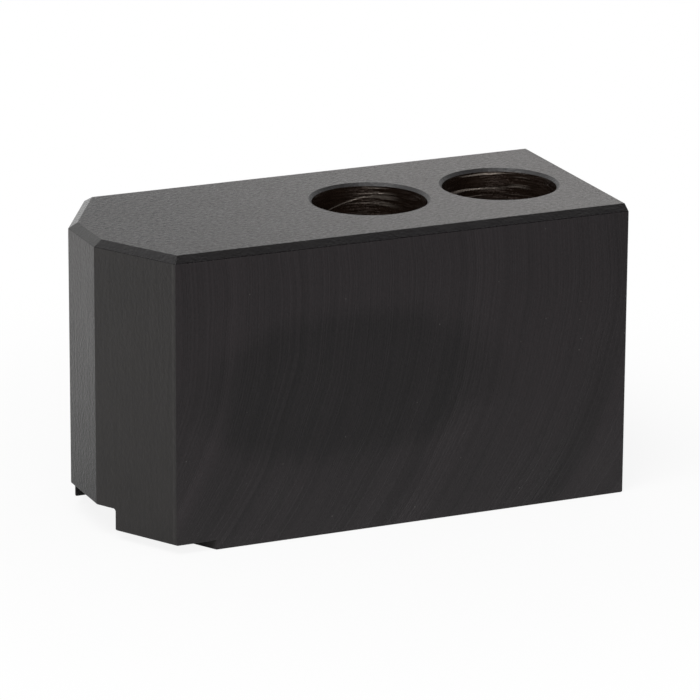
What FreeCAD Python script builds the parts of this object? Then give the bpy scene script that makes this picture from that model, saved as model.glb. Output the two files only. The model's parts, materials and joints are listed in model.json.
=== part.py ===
import FreeCAD, Part
import math
import os

# Machinable soft top jaw for a three-jaw power chuck: one solid steel block.
#
# The jaw lies along X with its nose towards -X, stands on its two mounting pads in the
# plane z = 0, and is symmetric about y = 0. The origin is the centre of that footing.
# All sizes are in millimetres and degrees.

# Block
length = 88.0
width = 40.0
height = 49.5

# Nose: a flat between two bevels, so that three jaws close to a point at 120 degrees
nose_width = 11.5
nose_angle = 120.0

# Chamfer along the nose, the bevels and both long sides: down the side, and in along the top
top_chamfer_height = 1.0
top_chamfer_width = 1.5

# Key groove that locates the jaw on the base jaw
groove_width = 18.0
groove_depth = 5.2
groove_root_radius = 0.4

# Relieved ledge under the nose, of one width all the way round it
ledge_width = 5.9
ledge_height = 1.6

# Counterbored holes for two M12 cap screws, set out from the back towards the nose
last_screw_from_back = 14.0
screw_pitch = 23.5
screw_count = 2
head_bore_diameter = 19.0
head_bore_rim = 0.5
screw_hole_diameter = 13.5
screw_hole_rim = 0.4
head_seat_height = 20.0

# Flat that takes the sharpness off every square outside corner
edge_break = 0.3

# An edge counts as a square corner where its two faces turn by this much or more
square_corner = 75.0

nose_x = -length / 2
rear_x = length / 2
bevel_angle = nose_angle / 2
overrun = 2.0
touch = 1e-4

UP = FreeCAD.Vector(0, 0, 1)


def nose_outline(setback):
    """Plan of the block with its nose and bevels set back by one distance, as a face at z = 0."""
    slope = math.radians(bevel_angle)
    flat_x = nose_x + setback
    flat_y = nose_width / 2 + setback * math.tan((math.pi / 2 - slope) / 2)
    side_y = width / 2
    bevel_end_x = flat_x + (side_y - flat_y) / math.tan(slope)
    near_side = [
        FreeCAD.Vector(flat_x, -flat_y),
        FreeCAD.Vector(bevel_end_x, -side_y),
        FreeCAD.Vector(rear_x, -side_y),
    ]
    far_side = [FreeCAD.Vector(p.x, -p.y) for p in reversed(near_side)]
    corners = near_side + far_side
    return Part.Face(Part.makePolygon(corners + corners[:1]))


def lies_in(edge, axis, value):
    """True where both ends of an edge have this value on one axis, named x, y or z."""
    return all(abs(getattr(v.Point, axis) - value) < touch for v in edge.Vertexes)


def blank():
    """The block with its nose, chamfered along the top of the nose, bevels and long sides."""
    block = nose_outline(0.0).extrude(UP * height)
    chamfered = [e for e in block.Edges if lies_in(e, "z", height) and not lies_in(e, "x", rear_x)]
    return block.makeChamfer(top_chamfer_height, top_chamfer_width, chamfered)


def nose_relief():
    """The step cut away under the nose, which leaves the mounting pads with bevelled fronts."""
    drop = UP * (ledge_height + overrun)
    base = FreeCAD.Vector(0, 0, -overrun)
    whole = nose_outline(-overrun).extrude(drop)
    pads = nose_outline(ledge_width).extrude(drop)
    relief = whole.cut(pads)
    relief.translate(base)
    return relief


def key_groove():
    """The key groove from end to end, with rounded roots."""
    start = FreeCAD.Vector(nose_x - overrun, -groove_width / 2, -overrun)
    groove = Part.makeBox(length + 2 * overrun, groove_width, groove_depth + overrun, start)
    ceiling = [e for e in groove.Edges if lies_in(e, "z", groove_depth)]
    roots = [e for e in ceiling if lies_in(e, "y", -groove_width / 2) or lies_in(e, "y", groove_width / 2)]
    return groove.makeFillet(groove_root_radius, roots)


def outward_normals(solid, edge):
    """Outward normals at an edge's middle of the two faces that meet there."""
    middle = edge.valueAt((edge.FirstParameter + edge.LastParameter) / 2)
    faces = solid.ancestorsOfType(edge, Part.Face)
    return middle, [face.normalAt(*face.Surface.parameter(middle)) for face in faces]


def is_square_corner(solid, edge):
    """True for an outside corner between faces that turn by about a right angle or more."""
    middle, (first, second) = outward_normals(solid, edge)
    if math.degrees(first.getAngle(second)) < square_corner:
        return False
    beside = middle + (first - second) * touch
    return not solid.isInside(beside, touch / 10, False)


def break_corners(solid):
    """The solid with a small flat on each of its square outside corners."""
    return solid.makeChamfer(edge_break, [e for e in solid.Edges if is_square_corner(solid, e)])


def screw_hole(x):
    """Counterbored screw hole at one place on the centreline, as a revolved cutter."""
    head_r = head_bore_diameter / 2
    hole_r = screw_hole_diameter / 2
    top = height + overrun
    section = [
        FreeCAD.Vector(0, 0, -overrun),
        FreeCAD.Vector(hole_r, 0, -overrun),
        FreeCAD.Vector(hole_r, 0, head_seat_height - screw_hole_rim),
        FreeCAD.Vector(hole_r + screw_hole_rim, 0, head_seat_height),
        FreeCAD.Vector(head_r, 0, head_seat_height),
        FreeCAD.Vector(head_r, 0, height - head_bore_rim),
        FreeCAD.Vector(head_r + head_bore_rim + overrun, 0, top),
        FreeCAD.Vector(0, 0, top),
    ]
    profile = Part.Face(Part.makePolygon(section + section[:1]))
    cutter = profile.revolve(FreeCAD.Vector(), UP, 360)
    cutter.translate(FreeCAD.Vector(x, 0, 0))
    return cutter


def soft_jaw():
    """The finished jaw."""
    jaw = break_corners(blank().cut(nose_relief()).cut(key_groove()))
    last_x = rear_x - last_screw_from_back
    for place in range(screw_count):
        jaw = jaw.cut(screw_hole(last_x - place * screw_pitch))
    return jaw.removeSplitter()


os.makedirs("parts", exist_ok=True)
soft_jaw().exportStep("parts/soft_jaw.step")
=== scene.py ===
"""Machinable soft top jaw for a power chuck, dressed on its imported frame.

The jaw is one block of blackened steel. It lies along X with its nose towards -X and
stands on two mounting pads in the plane z = 0. Everything is in metres.
"""

import json
import logging
import math
from collections.abc import Mapping, Sequence
from dataclasses import dataclass, field
from enum import Enum
from typing import Any

import bmesh
import bpy
from mathutils import Matrix, Vector


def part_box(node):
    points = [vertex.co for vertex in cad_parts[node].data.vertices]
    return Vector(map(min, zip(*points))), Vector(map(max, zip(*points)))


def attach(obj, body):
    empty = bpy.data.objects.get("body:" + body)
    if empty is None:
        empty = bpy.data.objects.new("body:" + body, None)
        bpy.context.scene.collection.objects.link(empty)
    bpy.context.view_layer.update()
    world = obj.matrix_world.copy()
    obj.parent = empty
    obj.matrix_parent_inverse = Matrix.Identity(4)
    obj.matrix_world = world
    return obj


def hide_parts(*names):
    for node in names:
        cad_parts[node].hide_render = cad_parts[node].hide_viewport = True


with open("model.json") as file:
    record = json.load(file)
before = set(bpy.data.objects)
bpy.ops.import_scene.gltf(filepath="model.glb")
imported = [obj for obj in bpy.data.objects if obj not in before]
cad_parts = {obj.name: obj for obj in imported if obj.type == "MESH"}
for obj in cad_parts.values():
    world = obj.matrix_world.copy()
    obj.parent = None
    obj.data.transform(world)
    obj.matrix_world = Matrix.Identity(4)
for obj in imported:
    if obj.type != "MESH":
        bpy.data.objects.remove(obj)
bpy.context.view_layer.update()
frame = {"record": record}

log = logging.getLogger("soft_jaw")

MM = 0.001
NODE = "soft_jaw"
BODY = "root"
OXIDE_INDEX = 1.5

Colour = tuple[float, float, float]


# --------------------------------------------------------------------------- nodes


class Value:
    """One output of a node, on which plain arithmetic adds Math nodes."""

    def __init__(self, sheet: "NodeSheet", socket: bpy.types.NodeSocket) -> None:
        """Keeps the socket and the sheet that new nodes are laid on.

        Args:
            sheet: The sheet that holds the socket's node.
            socket: The output socket.
        """
        self.sheet = sheet
        self.socket = socket

    def __add__(self, other: "Value | float") -> "Value":
        """The sum."""
        return self.sheet.maths("ADD", self, other)

    def __radd__(self, other: float) -> "Value":
        """The sum, with the number first."""
        return self.sheet.maths("ADD", other, self)

    def __sub__(self, other: "Value | float") -> "Value":
        """The difference."""
        return self.sheet.maths("SUBTRACT", self, other)

    def __rsub__(self, other: float) -> "Value":
        """The difference, with the number first."""
        return self.sheet.maths("SUBTRACT", other, self)

    def __mul__(self, other: "Value | float") -> "Value":
        """The product."""
        return self.sheet.maths("MULTIPLY", self, other)

    def __rmul__(self, other: float) -> "Value":
        """The product, with the number first."""
        return self.sheet.maths("MULTIPLY", other, self)

    def __truediv__(self, other: "Value | float") -> "Value":
        """The quotient."""
        return self.sheet.maths("DIVIDE", self, other)

    def root(self) -> "Value":
        """The square root."""
        return self.sheet.maths("SQRT", self)

    def size(self) -> "Value":
        """The value without its sign."""
        return self.sheet.maths("ABSOLUTE", self)

    def nearest(self) -> "Value":
        """The nearest whole number."""
        return self.sheet.maths("ROUND", self)

    def step(self, start: float, end: float) -> "Value":
        """A smooth step between 0 and 1, which may fall as well as rise.

        Args:
            start: Where the step is still 0.
            end: Where the step has reached 1.

        Returns:
            The step, held at 0 and 1 outside the two places.
        """
        settings = {"interpolation_type": "SMOOTHSTEP"}
        low, high = min(start, end), max(start, end)
        given = {"Value": self, "From Min": low, "From Max": high}
        rising = self.sheet.node("ShaderNodeMapRange", settings, given).out("Result")
        return rising if start < end else 1.0 - rising


class Placed:
    """A node on a sheet, with its outputs as values."""

    def __init__(self, sheet: "NodeSheet", node: bpy.types.Node) -> None:
        """Keeps the node and its sheet.

        Args:
            sheet: The sheet that holds the node.
            node: The node.
        """
        self.sheet = sheet
        self.node = node

    def out(self, key: str | int = 0) -> Value:
        """The output of this name or number."""
        return Value(self.sheet, self.node.outputs[key])


class NodeSheet:
    """The nodes of one tree, laid down by one method and joined by expressions."""

    def __init__(self, tree: bpy.types.NodeTree) -> None:
        """Keeps the tree.

        Args:
            tree: A shader, world or geometry tree.
        """
        self.tree = tree

    def node(
        self,
        kind: str,
        settings: Mapping[str, Any] | None = None,
        inputs: Mapping[str | int, Any] | None = None,
    ) -> Placed:
        """Adds a node, sets it up and fills its sockets.

        Args:
            kind: The node's type name.
            settings: Its properties, which are set before its sockets.
            inputs: A number, colour, datablock or value for each socket, by name or number.

        Returns:
            The placed node.
        """
        made = self.tree.nodes.new(kind)
        for name, setting in (settings or {}).items():
            setattr(made, name, setting)
        for key, given in (inputs or {}).items():
            if isinstance(given, Value):
                self.tree.links.new(given.socket, made.inputs[key])
            else:
                made.inputs[key].default_value = given
        return Placed(self, made)

    def maths(self, operation: str, *terms: "Value | float") -> Value:
        """One Math node.

        Args:
            operation: The node's operation.
            terms: Its terms, in order.

        Returns:
            Its result.
        """
        return self.node("ShaderNodeMath", {"operation": operation}, dict(enumerate(terms))).out()

    def parts(self, vector: Value) -> tuple[Value, Value, Value]:
        """The three parts of a vector."""
        split = self.node("ShaderNodeSeparateXYZ", inputs={0: vector})
        return split.out(0), split.out(1), split.out(2)

    def vector(self, x: "Value | float", y: "Value | float", z: "Value | float") -> Value:
        """A vector made of three parts."""
        return self.node("ShaderNodeCombineXYZ", inputs={0: x, 1: y, 2: z}).out()

    def blend(self, share: "Value | float", first: "Value | Colour", second: "Value | Colour") -> Value:
        """A mix of two colours.

        Args:
            share: How much of the second colour there is, from 0 to 1.
            first: The first colour.
            second: The second colour.

        Returns:
            The mixed colour.
        """
        ends = [given if isinstance(given, Value) else (*given, 1.0) for given in (first, second)]
        return self.node("ShaderNodeMix", {"data_type": "RGBA"}, {0: share, 6: ends[0], 7: ends[1]}).out(2)

    def noise(
        self,
        at: Value,
        scale: float,
        detail: float = 2.0,
        roughness: float = 0.5,
        seed: "Value | float" = 0.0,
    ) -> Value:
        """Cloudy noise that swings about zero.

        Args:
            at: Where it is read.
            scale: How many clouds there are to one unit.
            detail: How many finer layers are added.
            roughness: How strong the finer layers are.
            seed: Another pattern for each number.

        Returns:
            The noise, from about -1 to 1.
        """
        given = {"Vector": at, "W": seed, "Scale": scale, "Detail": detail, "Roughness": roughness}
        cloud = self.node("ShaderNodeTexNoise", {"noise_dimensions": "4D"}, given).out("Fac")
        return (cloud - 0.5) * 2.0

    def drawn(self, at: Value, x: float, y: float, z: float) -> Value:
        """The place with its three parts scaled, which draws a pattern out where a part is small."""
        return self.node("ShaderNodeMapping", inputs={"Vector": at, "Scale": (x, y, z)}).out()

    def stripes(self, along: Value, scale: float, detail: float = 2.0) -> Value:
        """Noise along one line, which swings about zero.

        Args:
            along: The distance along the line.
            scale: How many stripes there are to one unit.
            detail: How many finer layers are added.

        Returns:
            The noise, from about -1 to 1.
        """
        given = {"W": along, "Scale": scale, "Detail": detail, "Roughness": 0.6}
        line = self.node("ShaderNodeTexNoise", {"noise_dimensions": "1D"}, given).out("Fac")
        return (line - 0.5) * 2.0

    def flecks(self, at: Value, spacing: float, radius: float, share: float) -> Value:
        """Scattered round spots.

        Args:
            at: Where they are read.
            spacing: The distance between the places where a spot may be.
            radius: The radius of a spot.
            share: The share of the places that have one.

        Returns:
            1 on a spot and 0 elsewhere.
        """
        given = {"Vector": at, "Scale": 1.0 / spacing, "Randomness": 1.0}
        cells = self.node("ShaderNodeTexVoronoi", inputs=given)
        red, green, _ = self.parts(cells.out("Color"))
        reach = radius / spacing
        spot = (cells.out("Distance") / (0.5 + green)).step(reach, reach * 0.5)
        return spot * red.step(1.0 - share, 1.0 - share * 0.9)


# ------------------------------------------------------------------------ finishes


class Lay(Enum):
    """The pair of axes of the face that a finish is worked on."""

    FLANK = (0, 2)
    REAR = (1, 2)
    UNDER = (0, 1)


@dataclass(frozen=True)
class Relief:
    """What a finish varies over its surface, in terms of the base values."""

    tone: Value
    gloss: Value
    height: Value
    bare: Value | None = None


@dataclass(frozen=True)
class Finish:
    """Blackened steel as one tool left it. Each kind of face has its own pattern.

    Attributes:
        name: The material's name.
        colour: The colour of the oxide, linear.
        bare_colour: The colour of bare steel, shown by the bare flecks and mixed in for painted light and
            painted highlights.
        roughness: The mean roughness.
        metallic: How metallic the oxide is.
        depth: The depth of the relief, in metres.
        spread: How far the oxide goes darker and lighter than its colour.
    """

    name: str
    colour: Colour = (0.0165, 0.0152, 0.0157)
    bare_colour: Colour = (0.16, 0.15, 0.145)
    roughness: float = 0.42
    metallic: float = 0.0
    depth: float = 0.00004
    spread: float = 0.6

    def pattern(self, sheet: NodeSheet, at: Value) -> Relief:
        """The pattern over the surface.

        Args:
            sheet: The sheet of the material.
            at: The place on the object, in millimetres.

        Returns:
            The relief of this finish.
        """
        raise NotImplementedError

    def material(self) -> bpy.types.Material:
        """Builds the material.

        Returns:
            The material.
        """
        made = bpy.data.materials.new(self.name)
        made.use_nodes = True
        made.diffuse_color = (*self.colour, 1.0)
        made.node_tree.nodes.clear()
        sheet = NodeSheet(made.node_tree)
        at = sheet.drawn(sheet.node("ShaderNodeTexCoord").out("Object"), *(1.0 / MM,) * 3)
        relief = self.pattern(sheet, at)
        dark = tuple(part * (1.0 - self.spread) for part in self.colour)
        light = tuple(part * (1.0 + self.spread) for part in self.colour)
        colour = sheet.blend(relief.tone * 0.5 + 0.5, dark, light)
        roughness = relief.gloss + self.roughness
        if relief.bare is not None:
            colour = sheet.blend(relief.bare, colour, self.bare_colour)
        raised = {"Strength": 1.0, "Distance": self.depth, "Height": relief.height}
        bump = sheet.node("ShaderNodeBump", inputs=raised)
        shader = sheet.node(
            "ShaderNodeBsdfPrincipled",
            inputs={
                "Base Color": colour,
                "Metallic": self.metallic,
                "Roughness": roughness,
                "IOR": OXIDE_INDEX,
                "Normal": bump.out(),
            },
        )
        sheet.node("ShaderNodeOutputMaterial", inputs={"Surface": shader.out()})
        return made


@dataclass(frozen=True)
class GrainedTop(Finish):
    """The fine mottled grain of the top face, with painted light that makes it lighter towards the back.

    Attributes:
        wear_and_painted_light: The share of bare steel at the nose, and the painted light that the back has
            more than that.
        painted_light_ramp: Where along the jaw the painted light begins and is full, in millimetres.
    """

    wear_and_painted_light: tuple[float, float] = (0.13, 0.5)
    painted_light_ramp: tuple[float, float] = (-50.0, 40.0)

    def pattern(self, sheet: NodeSheet, at: Value) -> Relief:
        """Short grains drawn out along the jaw, soft patches and small pits.

        Args:
            sheet: The sheet of the material.
            at: The place on the object, in millimetres.

        Returns:
            The relief of this finish.
        """
        drawn = sheet.drawn(at, 0.75, 1.0, 1.0)
        grain = sheet.noise(drawn, 1.9, 3.0, 0.6)
        fine = sheet.noise(drawn, 5.0, 1.0)
        patch = sheet.noise(at, 0.14, 2.0, seed=3.0)
        pits = sheet.noise(drawn, 1.1, 2.0, 0.6, seed=7.0).step(-0.38, -0.62)
        along, _, _ = sheet.parts(at)
        # painted light: the top grows lighter towards the back, over the bare share at the nose
        wear_and_painted_light = along.step(*self.painted_light_ramp) * self.wear_and_painted_light[1] + patch * 0.1 + self.wear_and_painted_light[0]
        bare = wear_and_painted_light + grain * 0.5 + fine * 0.15 - pits * 0.12 + sheet.flecks(at, 3.2, 0.16, 0.22) * 0.4
        tone = grain * 1.1 + patch * 0.8 - pits * 0.9
        gloss = patch * 0.08 - grain * 0.16 + pits * 0.3
        return Relief(tone, gloss, grain + fine * 0.3 - pits * 1.2, bare)


@dataclass(frozen=True)
class SweptFace(Finish):
    """A face milled by a wide cutter, which leaves one arc after another.

    Attributes:
        lay: The face's pair of axes.
        sweep_radius: The radius of the arcs, in millimetres.
        sweep_height: Where the arcs stand upright, in millimetres above the footing.
        dark_reflection: The strength of the painted dark reflection, a darker oval at the middle of the
            face.
        reflection_centre: The middle of that painted reflection on the face, in millimetres.
        reflection_half: Half its width and height, in millimetres.
    """

    lay: Lay = Lay.FLANK
    sweep_radius: float = 63.0
    sweep_height: float = 40.0
    dark_reflection: float = 0.0
    reflection_centre: tuple[float, float] = (-6.0, 25.0)
    reflection_half: tuple[float, float] = (26.46, 13.04)

    def pattern(self, sheet: NodeSheet, at: Value) -> Relief:
        """Fine arcs and soft broad bands, broken up, with tiny light flecks, a painted dark reflection in
        the middle and painted shade towards the foot.

        Args:
            sheet: The sheet of the material.
            at: The place on the object, in millimetres.

        Returns:
            The relief of this finish.
        """
        parts = sheet.parts(at)
        along, up = parts[self.lay.value[0]], parts[self.lay.value[1]]
        drop = up - self.sweep_height
        bow = (self.sweep_radius**2 - drop * drop).root()
        wander = sheet.noise(at, 0.06, 1.0, seed=1.0)
        arc = along - bow + wander * 1.2
        strength = sheet.noise(at, 0.12, 2.0, seed=5.0) * 0.6 + 0.8
        low = up.step(34.0, 8.0) * 0.6 + 0.5
        lines = sheet.stripes(arc, 2.6, 3.0) * strength
        ribs = sheet.stripes(arc, 0.75, 1.0)
        bands = sheet.stripes(arc + 17.0, 0.13, 1.0) * low
        grain = sheet.noise(at, 2.4, 2.0, 0.6, seed=2.0)
        aside = (along - self.reflection_centre[0]) / self.reflection_half[0]
        above = (up - self.reflection_centre[1]) / self.reflection_half[1]
        oval = (aside * aside + above * above).root()
        # painted reflection: a soft darker oval at the middle of the face, which is also a little rougher
        patch = (oval + sheet.noise(at, 0.12, 2.0, seed=9.0) * 0.12).step(1.15, 0.75) * self.dark_reflection
        bare = sheet.flecks(at, 2.1, 0.13, 0.3) * 0.45
        tone = lines * 0.6 + bands * 0.9 + ribs * 0.25 + grain * 0.6 - patch
        gloss = bands * -0.08 + grain * 0.05 + patch * 0.08
        # painted shade: the face is darker towards its foot, near the floor
        tone = tone - up.step(32.0, 0.0) * 0.35
        height = lines * 0.9 + ribs * 0.5 + grain * 0.35
        return Relief(tone, gloss, height, bare)


@dataclass(frozen=True)
class UprightFace(Finish):
    """A small face, cut upright, with a painted highlight line beside its long edge.

    Attributes:
        highlight_place: How far along the jaw the painted highlight line is, in millimetres.
        painted_light_top: How much painted light is added towards the top of the face.
    """

    highlight_place: float | None = None
    painted_light_top: float = 0.0

    def pattern(self, sheet: NodeSheet, at: Value) -> Relief:
        """Fine mottle drawn upwards, soft patches, painted light towards the top and the painted highlight
        line.

        Args:
            sheet: The sheet of the material.
            at: The place on the object, in millimetres.

        Returns:
            The relief of this finish.
        """
        drawn = sheet.drawn(at, 1.0, 1.0, 0.55)
        grain = sheet.noise(drawn, 2.0, 3.0, 0.6)
        upright = sheet.noise(sheet.drawn(at, 1.0, 1.0, 0.06), 1.6, 2.0, seed=4.0)
        patch = sheet.noise(at, 0.12, 2.0, seed=6.0)
        bare = sheet.flecks(at, 2.3, 0.14, 0.3) * 0.5
        along, _, up = sheet.parts(at)
        # painted light: the face grows lighter towards its top
        bare = bare + (up.step(2.0, 50.0) + grain * 0.7) * self.painted_light_top
        # painted highlight: a thin light line beside the long edge
        if self.highlight_place is not None:
            off = (along - self.highlight_place).size().step(0.13, 0.03)
            bare = bare + off * (sheet.noise(at, 0.5, 3.0, seed=8.0) * 0.1 + 0.05)
        tone = grain * 0.7 + upright * 0.35 + patch * 0.5
        return Relief(tone, grain * 0.06 + patch * 0.05, grain + upright * 0.4, bare)


@dataclass(frozen=True)
class FiledEdge(Finish):
    """A chamfer or a broken corner, cut after the large faces."""

    def pattern(self, sheet: NodeSheet, at: Value) -> Relief:
        """Close uneven mottle.

        Args:
            sheet: The sheet of the material.
            at: The place on the object, in millimetres.

        Returns:
            The relief of this finish.
        """
        grain = sheet.noise(at, 2.2, 3.0, 0.6)
        patch = sheet.noise(at, 0.25, 2.0, seed=6.0)
        bare = sheet.flecks(at, 1.4, 0.12, 0.25) * 0.35
        return Relief(grain * 0.5 + patch * 0.5, grain * 0.06 + patch * 0.06, grain + patch, bare)


@dataclass(frozen=True)
class DrilledWall(Finish):
    """The oily wall of a drilled and counterbored hole.

    Attributes:
        highlight_arc_place: How far along the jaw and how high one long painted highlight arc is, in
            millimetres.
        highlight_arc_slope: How far that painted highlight arc climbs in each millimetre along the jaw.
    """

    highlight_arc_place: tuple[float, float] = (6.5, 46.4)
    highlight_arc_slope: float = 0.24

    def pattern(self, sheet: NodeSheet, at: Value) -> Relief:
        """Close rings that wander, a stained oil film, painted highlight streaks on the far wall and one
        painted highlight arc.

        Args:
            sheet: The sheet of the material.
            at: The place on the object, in millimetres.

        Returns:
            The relief of this finish.
        """
        rings = sheet.noise(sheet.drawn(at, 0.12, 0.12, 1.0), 2.4, 3.0, 0.65)
        film = sheet.noise(at, 0.25, 3.0, seed=2.0)
        grain = sheet.noise(at, 2.5, 2.0, seed=5.0)
        along, across, up = sheet.parts(at)
        # painted highlights: bright streaks on the lit part of each bore's far wall
        highlight_streaks = sheet.noise(sheet.drawn(at, 0.045, 0.06, 1.0), 1.5, 2.0, 0.6, seed=11.0).step(0.06, 0.26)
        lit = across.step(4.5, 8.5) * along.step(3.0, 27.0) * (sheet.noise(at, 0.16, 2.0, seed=21.0) + 0.7)
        # painted highlight: one long slanted light arc on the far wall
        climb = (along - self.highlight_arc_place[0]) * self.highlight_arc_slope
        slant = (up - self.highlight_arc_place[1] - climb).size().step(0.16, 0.03)
        highlight_arc = slant * across.step(4.5, 7.5) * (along - self.highlight_arc_place[0] + 1.0).size().step(5.5, 2.5)
        bare = highlight_streaks * lit * 0.9 + highlight_arc * 0.35 + sheet.flecks(at, 1.8, 0.1, 0.12) * 0.4
        tone = film * 0.8 + rings * 0.5
        return Relief(tone, film * 0.12 + grain * 0.08, rings + grain * 0.25, bare)


@dataclass(frozen=True)
class Finishes:
    """Every finish on the jaw, made once."""

    top: bpy.types.Material
    flank: bpy.types.Material
    rear: bpy.types.Material
    under: bpy.types.Material
    nose: bpy.types.Material
    bevel: bpy.types.Material
    chamfer: bpy.types.Material
    nose_chamfer: bpy.types.Material
    bore: bpy.types.Material
    rim: bpy.types.Material

    @classmethod
    def made(cls, bevel_end: float) -> "Finishes":
        """Builds the materials.

        Args:
            bevel_end: How far along the jaw the bevels end, in millimetres.

        Returns:
            The finishes.
        """
        finishes = {
            # the top carries painted light that grows towards the back
            "top": GrainedTop("oxide_top", colour=(0.006, 0.0056, 0.0058), roughness=0.4, depth=0.0003),
            # the flank carries a painted dark reflection at its middle
            "flank": SweptFace("oxide_flank", colour=(0.0158, 0.0122, 0.0136), dark_reflection=0.7, depth=0.00007),
            "rear": SweptFace("oxide_rear", lay=Lay.REAR, depth=0.00005),
            "under": SweptFace("oxide_under", lay=Lay.UNDER, sweep_height=10.0, depth=0.00002),
            # the nose carries painted light towards its top
            "nose": UprightFace("oxide_nose", colour=(0.0105, 0.01, 0.0095), painted_light_top=0.22, depth=0.00014),
            # the bevel carries the painted highlight line beside its edge
            "bevel": UprightFace(
                "oxide_bevel",
                colour=(0.0148, 0.013, 0.0122),
                highlight_place=bevel_end - 0.3,
                depth=0.00004,
            ),
            # painted shade: the side chamfers get a far darker copy of the oxide than the nose chamfer, for
            # the dark they reflect
            "chamfer": FiledEdge(
                "oxide_chamfer_painted_shade",
                colour=(0.003, 0.0021, 0.0025),
                roughness=0.16,
                depth=0.00005,
            ),
            "nose_chamfer": FiledEdge(
                "oxide_nose_chamfer",
                colour=(0.011, 0.0102, 0.0095),
                roughness=0.4,
                depth=0.00004,
            ),
            # the bore's bright bare colour serves its bare flecks and its painted highlights
            "bore": DrilledWall(
                "oiled_bore",
                colour=(0.026, 0.0155, 0.0105),
                bare_colour=(0.62, 0.54, 0.47),
                roughness=0.26,
                metallic=0.6,
                depth=0.00012,
            ),
            "rim": FiledEdge("oxide_rim", roughness=0.38, depth=0.00008),
        }
        return cls(**{part: finish.material() for part, finish in finishes.items()})


# ---------------------------------------------------------------------------- mesh


def loft(rings: Sequence[Sequence[Vector]]) -> bpy.types.Mesh:
    """A closed solid through several rings of the same number of corners.

    Args:
        rings: The rings in order, each turning the same way round.

    Returns:
        The mesh, with its faces outwards.
    """
    shape = bmesh.new()
    rows = [[shape.verts.new(corner) for corner in ring] for ring in rings]
    shape.faces.new(rows[0])
    shape.faces.new(rows[-1])
    for low, high in zip(rows, rows[1:]):
        for here in range(len(low)):
            after = (here + 1) % len(low)
            shape.faces.new((low[here], low[after], high[after], high[here]))
    bmesh.ops.recalc_face_normals(shape, faces=shape.faces)
    made = bpy.data.meshes.new("loft")
    shape.to_mesh(made)
    shape.free()
    return made


def placed(name: str, data: bpy.types.ID) -> bpy.types.Object:
    """A new object in the scene, at the origin.

    Args:
        name: The object's name.
        data: Its mesh, lamp or camera.

    Returns:
        The object.
    """
    made = bpy.data.objects.new(name, data)
    bpy.context.scene.collection.objects.link(made)
    return made


def settled(piece: bpy.types.Object) -> bpy.types.Mesh:
    """The piece's mesh with its modifiers worked out, as a plain mesh of its own.

    Args:
        piece: The object with its modifiers.

    Returns:
        The new mesh.
    """
    bpy.context.view_layer.update()
    graph = bpy.context.evaluated_depsgraph_get()
    return bpy.data.meshes.new_from_object(piece.evaluated_get(graph), depsgraph=graph)


def settle(piece: bpy.types.Object) -> None:
    """Gives a piece the mesh that its modifiers make, and takes the modifiers off.

    Args:
        piece: The object with its modifiers.
    """
    mesh = settled(piece)
    piece.modifiers.clear()
    piece.data = mesh


def cut(piece: bpy.types.Object, tool: bpy.types.Object, solver: str = "EXACT") -> None:
    """Cuts one object's shape out of another and deletes the tool.

    Args:
        piece: The object to cut.
        tool: The shape to take away.
        solver: The boolean modifier's solver.
    """
    away = piece.modifiers.new("cut", "BOOLEAN")
    away.operation = "DIFFERENCE"
    away.solver = solver
    away.material_mode = "TRANSFER"
    away.object = tool
    settle(piece)
    bpy.data.objects.remove(tool)


# ---------------------------------------------------------------------------- jaw


@dataclass(frozen=True)
class JawSizes:
    """The jaw's sizes in metres. The box and the bores come from the frame."""

    low: Vector
    high: Vector
    bore_places: tuple[float, ...]
    bore_radius: float
    bore_length: float
    hole_radius: float
    nose_width: float = 11.5 * MM
    bevel_angle: float = math.radians(60.0)
    chamfer_height: float = 1.0 * MM
    chamfer_width: float = 1.5 * MM
    groove_width: float = 18.0 * MM
    groove_depth: float = 5.2 * MM
    groove_root: float = 0.4 * MM
    ledge_width: float = 5.9 * MM
    ledge_height: float = 1.6 * MM
    bore_rim: float = 0.5 * MM
    hole_rim: float = 0.4 * MM
    corner_break: float = 0.3 * MM
    overrun: float = 2.0 * MM

    @classmethod
    def read(cls) -> "JawSizes":
        """Reads the box and the bores from the frame.

        Returns:
            The sizes.
        """
        mounts = {mount["name"]: mount for mount in frame["record"]["mounts"]}
        bores = [mount for mount in mounts.values() if mount["kind"] == "bore"]
        low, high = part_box(NODE)
        return cls(
            low=low,
            high=high,
            bore_places=tuple(sorted(bore["pos_m"][0] for bore in bores)),
            bore_radius=bores[0]["dims"]["r_mm"] * MM,
            bore_length=bores[0]["dims"]["length_mm"] * MM,
            hole_radius=mounts["screw_holes"]["dims"]["hole_r_mm"] * MM,
        )

    @property
    def height(self) -> float:
        """The height of the top face."""
        return self.high.z

    @property
    def seat(self) -> float:
        """The height of the seats that the screw heads bear on."""
        return self.high.z - self.bore_rim - self.bore_length

    @property
    def bevel_end(self) -> float:
        """How far along the jaw the bevels run out into the sides."""
        return self.low.x + (self.high.y - self.nose_width / 2) / math.tan(self.bevel_angle)

    def outline(self, nose_in: float, side_in: float, height: float) -> list[Vector]:
        """The plan of the block, with its faces moved inwards.

        Args:
            nose_in: How far the nose and the bevels are moved in.
            side_in: How far the long sides are moved in.
            height: The height of the plan.

        Returns:
            Its six corners, in order.
        """
        flat_x = self.low.x + nose_in
        flat_y = self.nose_width / 2 - nose_in * math.tan((math.pi / 2 - self.bevel_angle) / 2)
        side_y = self.high.y - side_in
        end_x = flat_x + (side_y - flat_y) / math.tan(self.bevel_angle)
        near = [(flat_x, -flat_y), (end_x, -side_y), (self.high.x, -side_y)]
        far = [(x, -y) for x, y in reversed(near)]
        return [Vector((x, y, height)) for x, y in near + far]


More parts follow.
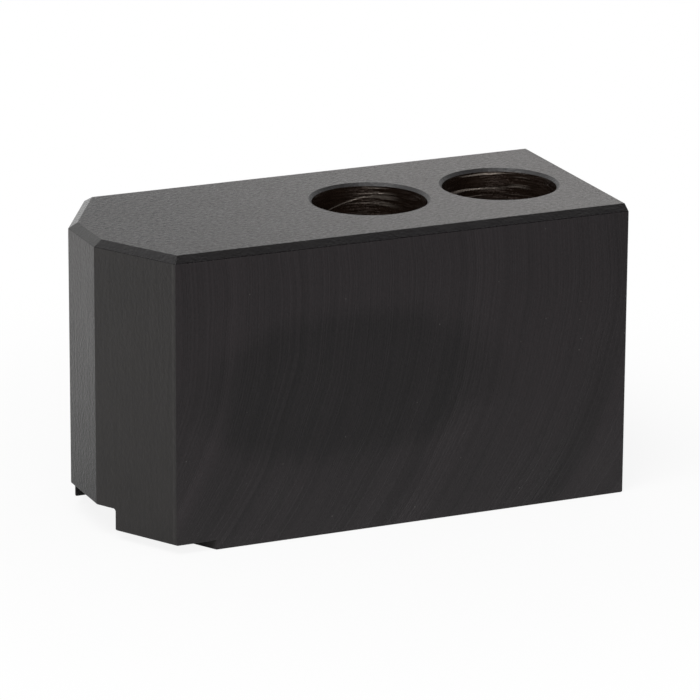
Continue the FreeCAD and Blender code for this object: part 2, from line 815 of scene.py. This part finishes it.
@dataclass
class JawBlock:
    """The block of the jaw: nose, chamfers, ledge, key groove and broken corners."""

    sizes: JawSizes
    finishes: Finishes
    fine_break: float = 0.3
    rounding: int = 3
    square_turn: float = math.radians(75.0)
    least_turn: float = math.radians(10.0)
    smooth_turn: float = math.radians(38.0)

    def blank(self) -> bpy.types.Object:
        """The block with its nose and its top chamfer.

        Returns:
            The block.
        """
        s = self.sizes
        rings = [
            s.outline(0.0, 0.0, s.low.z),
            s.outline(0.0, 0.0, s.height - s.chamfer_height),
            s.outline(s.chamfer_width, s.chamfer_width, s.height),
        ]
        return placed(NODE, loft(rings))

    def relief(self) -> bpy.types.Object:
        """The shape cut away under the nose.

        Returns:
            The cutter.
        """
        s = self.sizes
        inner = s.outline(s.ledge_width, -s.overrun, 0.0)
        front = s.low.x - s.overrun
        ahead = [Vector((front, inner[index].y, 0.0)) for index in (1, 4)]
        corners = [inner[5], inner[0], inner[1], *ahead, inner[4]]
        low = [Vector((corner.x, corner.y, -s.overrun)) for corner in corners]
        high = [Vector((corner.x, corner.y, s.ledge_height)) for corner in corners]
        return placed("relief", loft([low, high]))

    def groove(self) -> bpy.types.Object:
        """The key groove's shape, with rounded roots.

        Returns:
            The cutter.
        """
        s = self.sizes
        half, root = s.groove_width / 2, s.groove_root
        arc = [index / 6 * math.pi / 2 for index in range(7)]
        right = [(half - root + root * math.cos(a), s.groove_depth - root + root * math.sin(a)) for a in arc]
        left = [(-y, z) for y, z in reversed(right)]
        section = [(half, -s.overrun), *right, *left, (-half, -s.overrun)]
        ends = (s.low.x - s.overrun, s.high.x + s.overrun)
        return placed("groove", loft([[Vector((x, y, z)) for y, z in section] for x in ends]))

    def break_corners(self, block: bpy.types.Object) -> None:
        """Rounds every outside corner a little, and the square ones more.

        Args:
            block: The block, before the screws are bored.
        """
        shape = bmesh.new()
        shape.from_mesh(block.data)
        bmesh.ops.remove_doubles(shape, verts=shape.verts, dist=1e-7)
        bmesh.ops.dissolve_limit(shape, angle_limit=0.001, verts=shape.verts, edges=shape.edges)
        weights = shape.edges.layers.float.new("bevel_weight_edge")
        for edge in shape.edges:
            if not edge.is_convex or len(edge.link_faces) != 2:
                continue
            turn = edge.calc_face_angle()
            if turn > self.square_turn:
                edge[weights] = 1.0
            elif turn > self.least_turn:
                edge[weights] = self.fine_break
        shape.to_mesh(block.data)
        shape.free()
        rounded = block.modifiers.new("corners", "BEVEL")
        rounded.limit_method = "WEIGHT"
        rounded.width = self.sizes.corner_break
        rounded.segments = self.rounding
        settle(block)

    def built(self) -> bpy.types.Object:
        """Builds the block.

        Returns:
            The block, not yet bored.
        """
        block = self.blank()
        cut(block, self.relief())
        cut(block, self.groove())
        self.break_corners(block)
        return block

    def dress(self, block: bpy.types.Object) -> None:
        """Gives every face of the bored block its finish and its shading.

        Args:
            block: The bored block, whose bores already have theirs.
        """
        bore, rim = self.finishes.bore, self.finishes.rim
        brink = self.sizes.height - self.sizes.bore_rim * 1.02
        kinds = [rim, self.finishes.top, self.finishes.flank, self.finishes.rear, self.finishes.under]
        kinds += [self.finishes.nose, self.finishes.bevel, self.finishes.chamfer, self.finishes.nose_chamfer]
        mesh = block.data
        was_bore = [mesh.materials[face.material_index] is bore for face in mesh.polygons]
        slots = {material.name: index for index, material in enumerate([bore, *kinds])}
        indices = [
            slots[(rim if face.center.z > brink and face.normal.z > 0.5 else bore).name]
            if bored
            else slots[self.finish_at(face.center, face.normal).name]
            for face, bored in zip(mesh.polygons, was_bore)
        ]
        mesh.materials.clear()
        for material in [bore, *kinds]:
            mesh.materials.append(material)
        mesh.polygons.foreach_set("material_index", indices)
        mesh.polygons.foreach_set("use_smooth", [True] * len(indices))
        self.mark_sharp(mesh)
        evened = block.modifiers.new("normals", "WEIGHTED_NORMAL")
        evened.keep_sharp = True
        evened.weight = 100
        settle(block)

    def mark_sharp(self, mesh: bpy.types.Mesh) -> None:
        """Marks the edges where the shading breaks.

        Args:
            mesh: The mesh to mark.
        """
        shape = bmesh.new()
        shape.from_mesh(mesh)
        for edge in shape.edges:
            edge.smooth = len(edge.link_faces) == 2 and edge.calc_face_angle() < self.smooth_turn
        shape.to_mesh(mesh)
        shape.free()

    def finish_at(self, centre: Vector, normal: Vector) -> bpy.types.Material:
        """The finish of a face.

        Args:
            centre: The middle of the face.
            normal: Its outward direction.

        Returns:
            The material.
        """
        s = self.sizes
        if normal.z > 0.9:
            return self.finishes.top
        if normal.z < -0.5 or centre.z < s.groove_depth and abs(centre.y) < s.groove_width / 2 + 1e-6:
            return self.finishes.under
        if normal.z > 0.3:
            return self.finishes.chamfer if abs(normal.y) > 0.2 else self.finishes.nose_chamfer
        if normal.x > 0.7:
            return self.finishes.rear
        if abs(normal.y) > 0.8:
            return self.finishes.flank
        return self.finishes.nose if normal.x < -0.97 else self.finishes.bevel


@dataclass
class ScrewBores:
    """The counterbored screw holes, as the drill and the counterbore left them."""

    sizes: JawSizes
    wall: bpy.types.Material
    sides: int = 144
    rows: int = 190
    ring_depth: float = 0.07 * MM
    seed: float = 4.0
    inputs: dict[str, tuple[str, Any]] = field(init=False)

    def __post_init__(self) -> None:
        """Names the inputs of the tree."""
        s = self.sizes
        number, whole = "NodeSocketFloat", "NodeSocketInt"
        self.inputs = {
            "First Place": (number, s.bore_places[0]),
            "Pitch": (number, s.bore_places[1] - s.bore_places[0]),
            "Count": (whole, len(s.bore_places)),
            "Bore Radius": (number, s.bore_radius),
            "Bore Rim": (number, s.bore_rim),
            "Hole Radius": (number, s.hole_radius),
            "Hole Rim": (number, s.hole_rim),
            "Seat": (number, s.seat),
            "Top": (number, s.height),
            "Overrun": (number, s.overrun),
            "Sides": (whole, self.sides),
            "Rows": (whole, self.rows),
            "Ring Depth": (number, self.ring_depth),
            "Seed": (number, self.seed),
            "Wall": ("NodeSocketMaterial", self.wall),
        }

    def tree(self) -> bpy.types.NodeTree:
        """Builds the geometry tree that makes the cutters.

        Returns:
            The tree.
        """
        tree = bpy.data.node_groups.new("screw_bores", "GeometryNodeTree")
        for name, (kind, _) in self.inputs.items():
            tree.interface.new_socket(name, in_out="INPUT", socket_type=kind)
        tree.interface.new_socket("Cutters", in_out="OUTPUT", socket_type="NodeSocketGeometry")
        sheet = NodeSheet(tree)
        entry = sheet.node("NodeGroupInput")
        given = {name: entry.out(name) for name in self.inputs}
        start = sheet.vector(given["First Place"], 0.0, 0.0)
        offset = sheet.vector(given["Pitch"], 0.0, 0.0)
        line = {"Count": given["Count"], "Start Location": start, "Offset": offset}
        places = sheet.node("GeometryNodeMeshLine", {"mode": "OFFSET"}, line).out()

        def repeated(shape: Value, middle: Value) -> Value:
            """One cutter at each screw.

            Args:
                shape: The cutter, about its own middle.
                middle: The height of its middle.

            Returns:
                The cutters as real geometry.
            """
            raised = {"Geometry": shape, "Translation": sheet.vector(0.0, 0.0, middle)}
            standing = sheet.node("GeometryNodeTransform", inputs=raised)
            spread = {"Points": places, "Instance": standing.out()}
            each = sheet.node("GeometryNodeInstanceOnPoints", inputs=spread)
            return sheet.node("GeometryNodeRealizeInstances", inputs={"Geometry": each.out()}).out()

        bores = repeated(*self.bore(sheet, given))
        bores = self.ringed(sheet, given, bores)
        holes = repeated(*self.hole(sheet, given))
        rims = repeated(*self.cone(sheet, given, given["Bore Radius"] + given["Bore Rim"], given["Top"]))
        seats = repeated(*self.cone(sheet, given, given["Hole Radius"] + given["Hole Rim"], given["Seat"]))
        joined = sheet.node("GeometryNodeMeshBoolean", {"operation": "UNION", "solver": "MANIFOLD"})
        for shape in (bores, holes, rims, seats):
            tree.links.new(shape.socket, joined.node.inputs["Mesh 2"])
        real = sheet.node("GeometryNodeRealizeInstances", inputs={"Geometry": joined.out()})
        coated = {"Geometry": real.out(), "Material": given["Wall"]}
        finished = sheet.node("GeometryNodeSetMaterial", inputs=coated)
        sheet.node("NodeGroupOutput", inputs={0: finished.out()})
        return tree

    def drill(
        self,
        sheet: NodeSheet,
        given: Mapping[str, Value],
        radius: Value,
        depth: Value,
        rows: "Value | int",
    ) -> Value:
        """A plain round cutter about its own middle.

        Args:
            sheet: The sheet of the tree.
            given: The tree's inputs.
            radius: Its radius.
            depth: Its length.
            rows: How many rows of faces its wall has.

        Returns:
            The cutter.
        """
        sizes = {"Vertices": given["Sides"], "Side Segments": rows, "Radius": radius, "Depth": depth}
        return sheet.node("GeometryNodeMeshCylinder", {"fill_type": "NGON"}, sizes).out("Mesh")

    def bore(self, sheet: NodeSheet, given: Mapping[str, Value]) -> tuple[Value, Value]:
        """The counterbore for a screw head.

        Args:
            sheet: The sheet of the tree.
            given: The tree's inputs.

        Returns:
            The cutter and the height of its middle.
        """
        depth = given["Top"] + given["Overrun"] - given["Seat"]
        shape = self.drill(sheet, given, given["Bore Radius"], depth, given["Rows"])
        return shape, given["Seat"] + depth * 0.5

    def hole(self, sheet: NodeSheet, given: Mapping[str, Value]) -> tuple[Value, Value]:
        """The through hole for a screw.

        Args:
            sheet: The sheet of the tree.
            given: The tree's inputs.

        Returns:
            The cutter and the height of its middle.
        """
        depth = given["Seat"] + given["Overrun"] * 1.5
        return self.drill(sheet, given, given["Hole Radius"], depth, 1), depth * 0.5 - given["Overrun"]

    def cone(
        self,
        sheet: NodeSheet,
        given: Mapping[str, Value],
        radius: Value,
        height: Value,
    ) -> tuple[Value, Value]:
        """A right-angled countersink.

        Args:
            sheet: The sheet of the tree.
            given: The tree's inputs.
            radius: Its radius at the given height.
            height: Where it has that radius.

        Returns:
            The cutter and its height.
        """
        over = given["Overrun"]
        sizes = {
            "Vertices": given["Sides"],
            "Side Segments": 1,
            "Radius Top": radius + over * 0.5,
            "Radius Bottom": radius - over,
            "Depth": over * 1.5,
        }
        shape = sheet.node("GeometryNodeMeshCone", {"fill_type": "NGON"}, sizes)
        return shape.out("Mesh"), height - over

    def ringed(self, sheet: NodeSheet, given: Mapping[str, Value], bores: Value) -> Value:
        """The bores with the uneven rings that the tool left in their walls.

        Args:
            sheet: The sheet of the tree.
            given: The tree's inputs.
            bores: The plain bores.

        Returns:
            The bores with their rings.
        """
        x, y, z = sheet.parts(sheet.node("GeometryNodeInputPosition").out())
        first, pitch = given["First Place"], given["Pitch"]
        across = x - (((x - first) / pitch).nearest() * pitch + first)
        radius = (across * across + y * y).root()
        drawn = sheet.vector(x * (0.11 / MM), y * (0.11 / MM), z * (1.0 / MM))
        rings = sheet.noise(drawn, 0.85, seed=given["Seed"])
        ripples = sheet.noise(drawn, 2.2, seed=given["Seed"] + 5.0)
        push = (rings + ripples * 0.35) * given["Ring Depth"]
        offset = sheet.vector(across / radius * push, y / radius * push, 0.0)
        return sheet.node("GeometryNodeSetPosition", inputs={"Geometry": bores, "Offset": offset}).out()

    def built(self) -> bpy.types.Object:
        """Makes the cutters.

        Returns:
            The cutters as one plain object.
        """
        cutters = placed("screw_bores", bpy.data.meshes.new("screw_bores"))
        tree = self.tree()
        maker = cutters.modifiers.new("bores", "NODES")
        maker.node_group = tree
        for item in tree.interface.items_tree:
            if item.in_out == "INPUT":
                maker[item.identifier] = self.inputs[item.name][1]
        settle(cutters)
        return cutters


@dataclass
class SoftJaw:
    """The whole jaw."""

    sizes: JawSizes

    def built(self) -> bpy.types.Object:
        """Builds the jaw, dresses it and joins it to the frame.

        Returns:
            The jaw.
        """
        finishes = Finishes.made(self.sizes.bevel_end / MM)
        block = JawBlock(self.sizes, finishes)
        jaw = block.built()
        cut(jaw, ScrewBores(self.sizes, finishes.bore).built())
        block.dress(jaw)
        jaw.name = "jaw"
        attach(jaw, BODY)
        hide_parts(NODE)
        log.info("%s: %d faces", jaw.name, len(jaw.data.polygons))
        return jaw


# -------------------------------------------------------------------------- studio


@dataclass(frozen=True)
class Softbox:
    """A soft rectangular lamp that looks at the jaw.

    Attributes:
        name: The lamp's name.
        heading: The side that it stands on, in degrees from -Y towards -X.
        elevation: Its height above the horizon, in degrees.
        distance: Its distance from the jaw, in metres.
        width: The length of its sides, in metres.
        watts: Its power.
        colour: Its colour, linear.
    """

    name: str
    heading: float
    elevation: float
    distance: float
    width: float
    watts: float
    colour: Colour = (1.0, 1.0, 1.0)

    def built(self, target: Vector) -> bpy.types.Object:
        """Hangs the lamp.

        Args:
            target: Where the lamp looks.

        Returns:
            The lamp.
        """
        light = bpy.data.lights.new(self.name, "AREA")
        light.shape = "SQUARE"
        light.size = self.width
        light.energy = self.watts
        light.color = self.colour
        lamp = placed(self.name, light)
        turn, rise = math.radians(self.heading), math.radians(self.elevation)
        away = Vector((-math.sin(turn) * math.cos(rise), -math.cos(turn) * math.cos(rise), math.sin(rise)))
        lamp.location = target + away * self.distance
        lamp.rotation_mode = "QUATERNION"
        lamp.rotation_quaternion = away.to_track_quat("Z", "Y")
        return lamp


@dataclass(frozen=True)
class Viewpoint:
    """The main camera.

    Attributes:
        azimuth: The way it looks, in degrees from +Y towards +X.
        elevation: Its height above the horizon, in degrees.
        roll: How far it leans, in degrees.
        distance: Its distance from the middle of the jaw, in metres.
        aim: How far right of the middle and below it the camera looks, in metres.
        lens: Its focal length, in millimetres.
    """

    azimuth: float = 24.0
    elevation: float = 17.42
    roll: float = -0.34
    distance: float = 0.8143
    aim: tuple[float, float] = (0.0029, 0.0004)
    lens: float = 254.45

    def built(self, target: Vector) -> bpy.types.Object:
        """Sets up the camera.

        Args:
            target: The middle of the jaw.

        Returns:
            The camera.
        """
        turn, drop, lean = (math.radians(angle) for angle in (self.azimuth, self.elevation, self.roll))
        ahead = Vector((math.sin(turn) * math.cos(drop), math.cos(turn) * math.cos(drop), -math.sin(drop)))
        level = Vector((math.cos(turn), -math.sin(turn), 0.0))
        down = ahead.cross(level)
        right = level * math.cos(lean) + down * math.sin(lean)
        below = down * math.cos(lean) - level * math.sin(lean)
        data = bpy.data.cameras.new("main")
        data.lens = self.lens
        data.sensor_width = 36.0
        camera = placed("main", data)
        place = target - ahead * self.distance + right * self.aim[0] + below * self.aim[1]
        turned = Matrix((right, -below, -ahead)).transposed().to_4x4()
        camera.matrix_world = Matrix.Translation(place) @ turned
        bpy.context.scene.camera = camera
        return camera


@dataclass
class Studio:
    """The pale floor, the backdrop, the lamps and the camera."""

    target: Vector
    floor_side: float = 4.0
    shadow_share: float = 0.12
    room_light: Colour = (0.45, 0.45, 0.45)
    lamps: tuple[Softbox, ...] = (
        Softbox("key", heading=52.0, elevation=60.0, distance=0.9, width=0.5, watts=5.2),
        Softbox("fill", heading=10.0, elevation=22.0, distance=1.2, width=0.8, watts=3.6),
    )

    def backdrop(self, sheet: NodeSheet, along: Value) -> Value:
        """How bright the backdrop is, which is behind the jaw and falls off in front.

        Args:
            sheet: The sheet of the world.
            along: The +Y part of the direction.

        Returns:
            The brightness, from 0 to 1.
        """
        return sheet.maths("MINIMUM", sheet.maths("MAXIMUM", along * 0.83 + 0.28, 0.0), 1.0)

    def world(self) -> None:
        """Makes the white backdrop and the soft room light."""
        world = bpy.data.worlds.new("studio")
        bpy.context.scene.world = world
        world.use_nodes = True
        world.node_tree.nodes.clear()
        sheet = NodeSheet(world.node_tree)
        _, along, _ = sheet.parts(sheet.node("ShaderNodeTexCoord").out("Generated"))
        rays = sheet.node("ShaderNodeLightPath")
        shiny = sheet.maths("MAXIMUM", rays.out("Is Glossy Ray"), rays.out("Is Transmission Ray"))
        shown = sheet.blend(self.backdrop(sheet, along), (0.0, 0.0, 0.0), (1.0, 1.0, 1.0))
        room = sheet.blend(shiny, self.room_light, shown)
        seen = sheet.blend(rays.out("Is Camera Ray"), room, (1.0, 1.0, 1.0))
        light = sheet.node("ShaderNodeBackground", inputs={"Color": seen, "Strength": 1.0})
        sheet.node("ShaderNodeOutputWorld", inputs={"Surface": light.out()})

    def floor(self) -> bpy.types.Object:
        """Lays the pale floor, which reflections see with painted shade towards the front.

        Returns:
            The floor.
        """
        half = self.floor_side / 2
        mesh = bpy.data.meshes.new("floor")
        corners = [(-half, -half, 0.0), (half, -half, 0.0), (half, half, 0.0), (-half, half, 0.0)]
        mesh.from_pydata(corners, [], [(0, 1, 2, 3)])
        floor = placed("floor", mesh)
        pale = bpy.data.materials.new("pale_floor")
        pale.use_nodes = True
        pale.node_tree.nodes.clear()
        sheet = NodeSheet(pale.node_tree)
        across, along, _ = sheet.parts(sheet.node("ShaderNodeTexCoord").out("Object"))
        rays = sheet.node("ShaderNodeLightPath")
        shiny = sheet.maths("MAXIMUM", rays.out("Is Glossy Ray"), rays.out("Is Transmission Ray"))
        # painted shade: reflections see the floor darken from the back towards the front
        painted_falloff = sheet.blend(along.step(-0.12, 0.1), (0.2, 0.2, 0.2), (1.0, 1.0, 1.0))
        colour = sheet.blend(shiny, (0.8, 0.8, 0.8), painted_falloff)
        matt = sheet.node("ShaderNodeBsdfDiffuse", inputs={"Color": colour})
        white = sheet.node("ShaderNodeEmission", inputs={"Color": (1.0, 1.0, 1.0, 1.0), "Strength": 1.0})
        shadow = (along * along + across * across).root().step(0.13, 0.05) * self.shadow_share
        share = rays.out("Is Camera Ray") * (1.0 - shadow)
        mixed = sheet.node("ShaderNodeMixShader", inputs={0: share, 1: matt.out(), 2: white.out()})
        sheet.node("ShaderNodeOutputMaterial", inputs={"Surface": mixed.out()})
        mesh.materials.append(pale)
        return floor

    def built(self) -> None:
        """Sets up the whole studio."""
        self.world()
        self.floor()
        for lamp in self.lamps:
            lamp.built(self.target)
        Viewpoint().built(self.target)
        bpy.context.scene.view_settings.view_transform = "Standard"
        log.info("studio: %d lamps", len(self.lamps))


def main() -> None:
    """Builds the jaw and the studio."""
    logging.basicConfig(level=logging.INFO, format="%(name)s %(message)s")
    sizes = JawSizes.read()
    SoftJaw(sizes).built()
    Studio((sizes.low + sizes.high) / 2).built()


if __name__ == "__main__":
    main()
